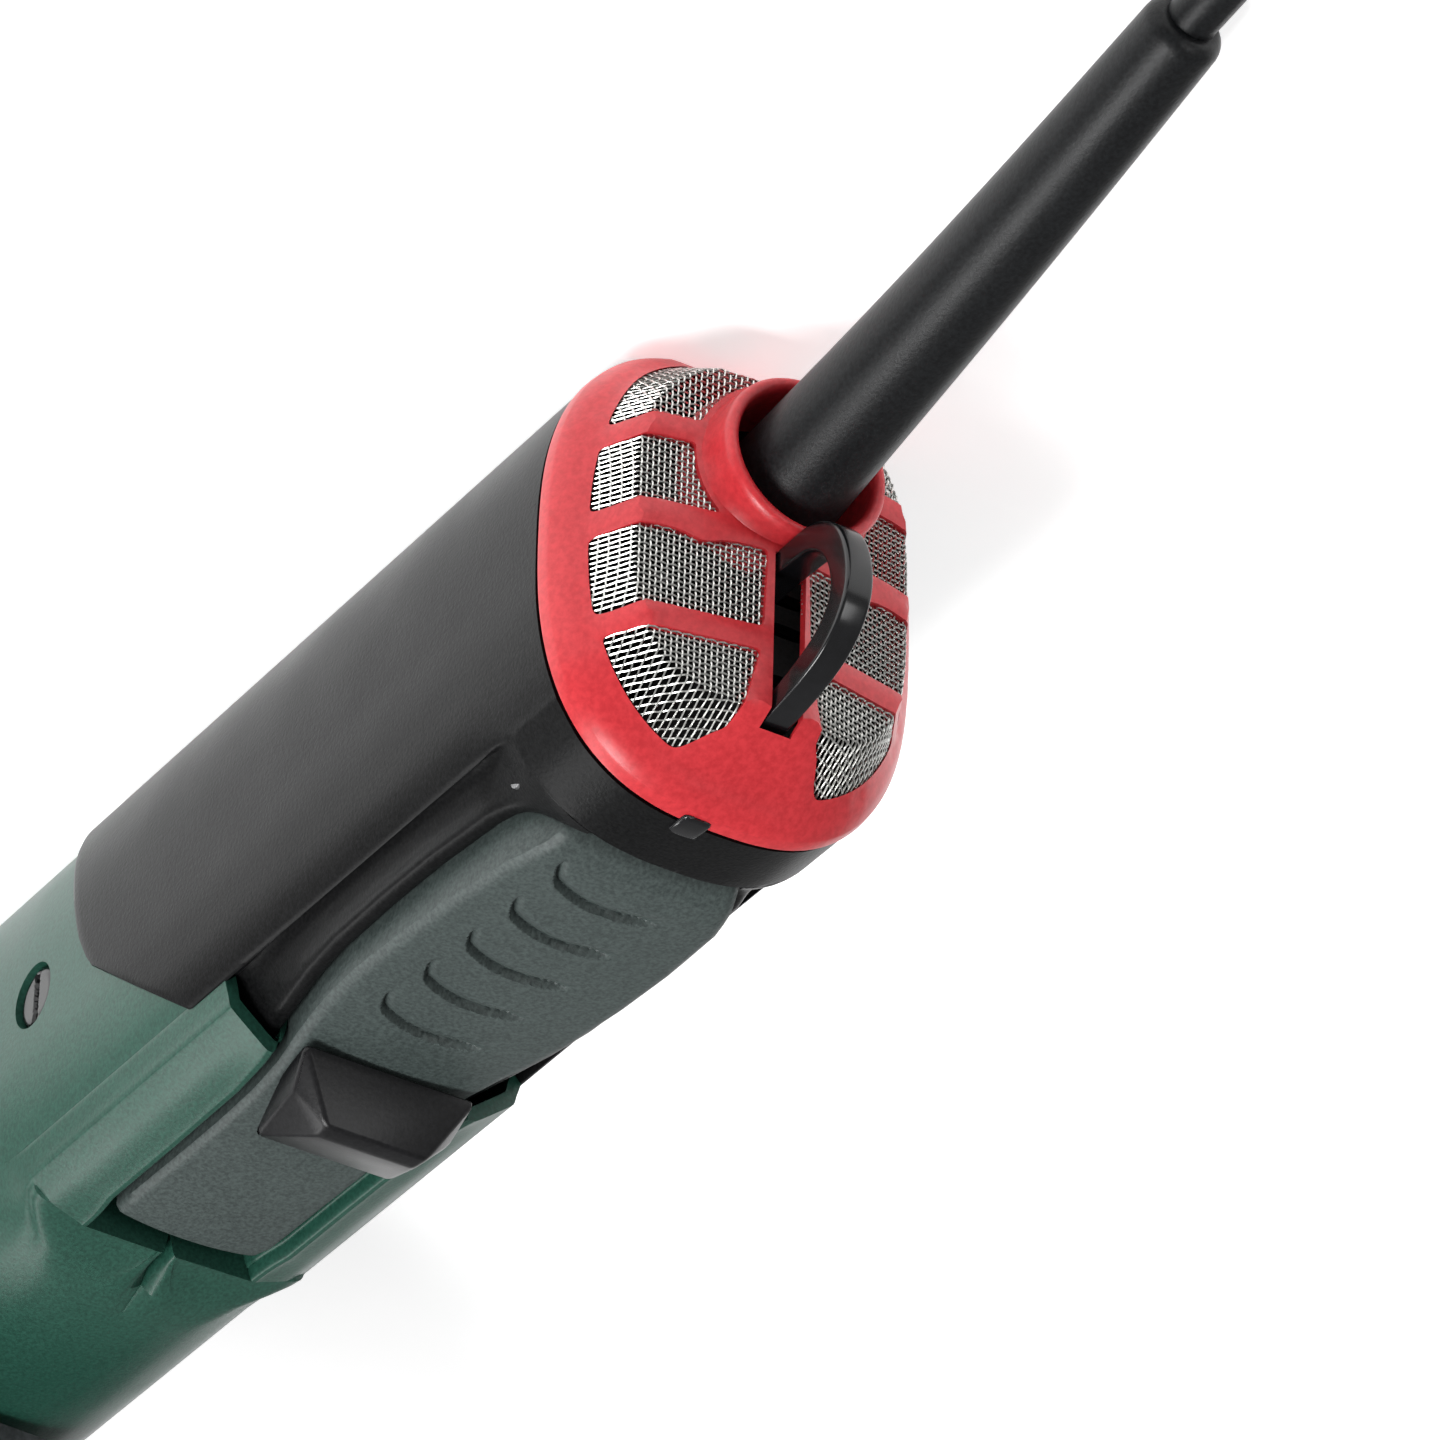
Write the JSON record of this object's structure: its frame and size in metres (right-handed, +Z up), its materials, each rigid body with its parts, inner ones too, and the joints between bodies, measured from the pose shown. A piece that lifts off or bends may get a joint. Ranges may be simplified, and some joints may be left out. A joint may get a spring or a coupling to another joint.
{
  "type": "angle grinder",
  "caption": "Corded angle grinder with paddle switch, lock-off lever, mesh intake filter, lanyard eye, turning disc, guard, side handle and coiled cord.",
  "frame": {"origin": "centre of the base on the bench, under the tool without its free cord; the tool lies on its back", "axes": "+X along the body to the cord end, +Y to the side handle, +Z up, to the paddle and the disc"},
  "size_m": [0.6668, 0.2657, 0.108],
  "materials": {
    "grip": "soft-touch black, fine speckle",
    "green": "moulded, fine spark texture",
    "red": "moulded satin",
    "paddle": "dark grey soft-touch",
    "plastic": "black glossy",
    "rubber": "fine matt rubber",
    "mesh": "fine woven steel",
    "steel": "turned",
    "bronze": "copper segments",
    "iron": "painted steel and laminations",
    "alloy": "die cast, blasted",
    "carbon": "pressed carbon",
    "abrasive": "bonded grit"
  },
  "bodies": {
    "root": {"bearing_cover": "alloy", "brush_holder_left": "bronze", "brush_holder_right": "bronze", "carbon_brush_left": "carbon", "carbon_brush_right": "carbon", "clamp_screw_left": "steel", "clamp_screw_right": "steel", "coil_tie": "plastic", "cord": "rubber", "cord_clamp": "plastic", "cord_coil": "rubber", "cord_sleeve": "rubber", "cord_tail": "rubber", "cover_screw_1": "steel", "cover_screw_2": "steel", "cover_screw_3": "steel", "cover_screw_4": "steel", "electronics_module": "plastic", "filter_frame": "red", "filter_mesh_left": "mesh", "filter_mesh_right": "mesh", "gear_housing": "alloy", "lanyard_eye": "plastic", "motor_bearing_front": "steel", "motor_bearing_rear": "steel", "motor_housing": "green", "paddle_pin": "steel", "paddle_spring": "steel", "plug_body": "rubber", "plug_pin_left": "steel", "plug_pin_right": "steel", "rear_shell_left": "grip", "rear_shell_right": "grip", "side_handle_grip": "rubber", "side_handle_stud": "steel", "spindle_bearing_lower": "steel", "spindle_bearing_upper": "steel", "spindle_lock_spring": "steel", "stator": "iron", "switch_body": "plastic"},
    "paddle": {"paddle": "paddle", "lock_pin": "steel", "lock_spring": "steel"},
    "lock_lever": {"lock_lever": "plastic"},
    "rotor": {"armature_shaft": "steel", "armature_core": "iron", "commutator": "bronze", "fan": "plastic", "pinion": "steel"},
    "spindle": {"spindle": "steel", "ring_gear": "steel", "backing_flange": "steel", "grinding_disc": "abrasive", "clamping_nut": "steel"},
    "guard": {"wheel_guard": "iron"},
    "guard_lever": {"guard_lever": "steel"},
    "lock_button": {"spindle_lock_button": "plastic"},
    "switch_plunger": {"switch_plunger": "plastic"}
  },
  "joints": [
    {"name": "paddle_squeeze", "type": "hinge", "parent": "root", "child": "paddle", "pos_m": [0.1525, -0.03615, 0.071], "axis": [0, -1, 0], "range_deg": [0, 2.6], "stiffness_Nm_per_rad": 2, "springref_deg": -5.73, "deforming": ["paddle_spring"]},
    {"name": "lock_lever_swing", "type": "hinge", "parent": "paddle", "child": "lock_lever", "pos_m": [0.0615, -0.03615, 0.0712], "axis": [0, -1, 0], "range_deg": [0, 18], "stiffness_Nm_per_rad": 0.06, "springref_deg": -22.92},
    {"name": "spindle_spin", "type": "hinge", "parent": "root", "child": "spindle", "pos_m": [-0.1395, -0.03615, 0.041], "axis": [0, 0, 1], "continuous": true},
    {"name": "rotor_spin", "type": "hinge", "parent": "root", "child": "rotor", "pos_m": [-0.0275, -0.03615, 0.041], "axis": [1, 0, 0], "continuous": true},
    {"name": "guard_turn", "type": "hinge", "parent": "root", "child": "guard", "pos_m": [-0.1395, -0.03615, 0.085], "axis": [0, 0, 1], "range_deg": [-60, 60]},
    {"name": "guard_lever_turn", "type": "hinge", "parent": "guard", "child": "guard_lever", "pos_m": [-0.148, -0.06715, 0.0828], "axis": [0, 0, 1], "range_deg": [0, 80]},
    {"name": "lock_button_press", "type": "slide", "parent": "root", "child": "lock_button", "axis": [0, 0, 1], "range_m": [0, 0.0035], "stiffness_N_per_m": 400, "springref_m": -0.004, "deforming": ["spindle_lock_spring"]},
    {"name": "switch_press", "type": "slide", "parent": "root", "child": "switch_plunger", "axis": [0, 0, -1], "range_m": [0, 0.0027], "stiffness_N_per_m": 150, "springref_m": -0.002}
  ],
  "couplings": [
    {"joint": "rotor_spin", "follows": "spindle_spin", "ratio": -3},
    {"joint": "switch_press", "follows": "paddle_squeeze", "m_per_rad": 0.055}
  ]
}
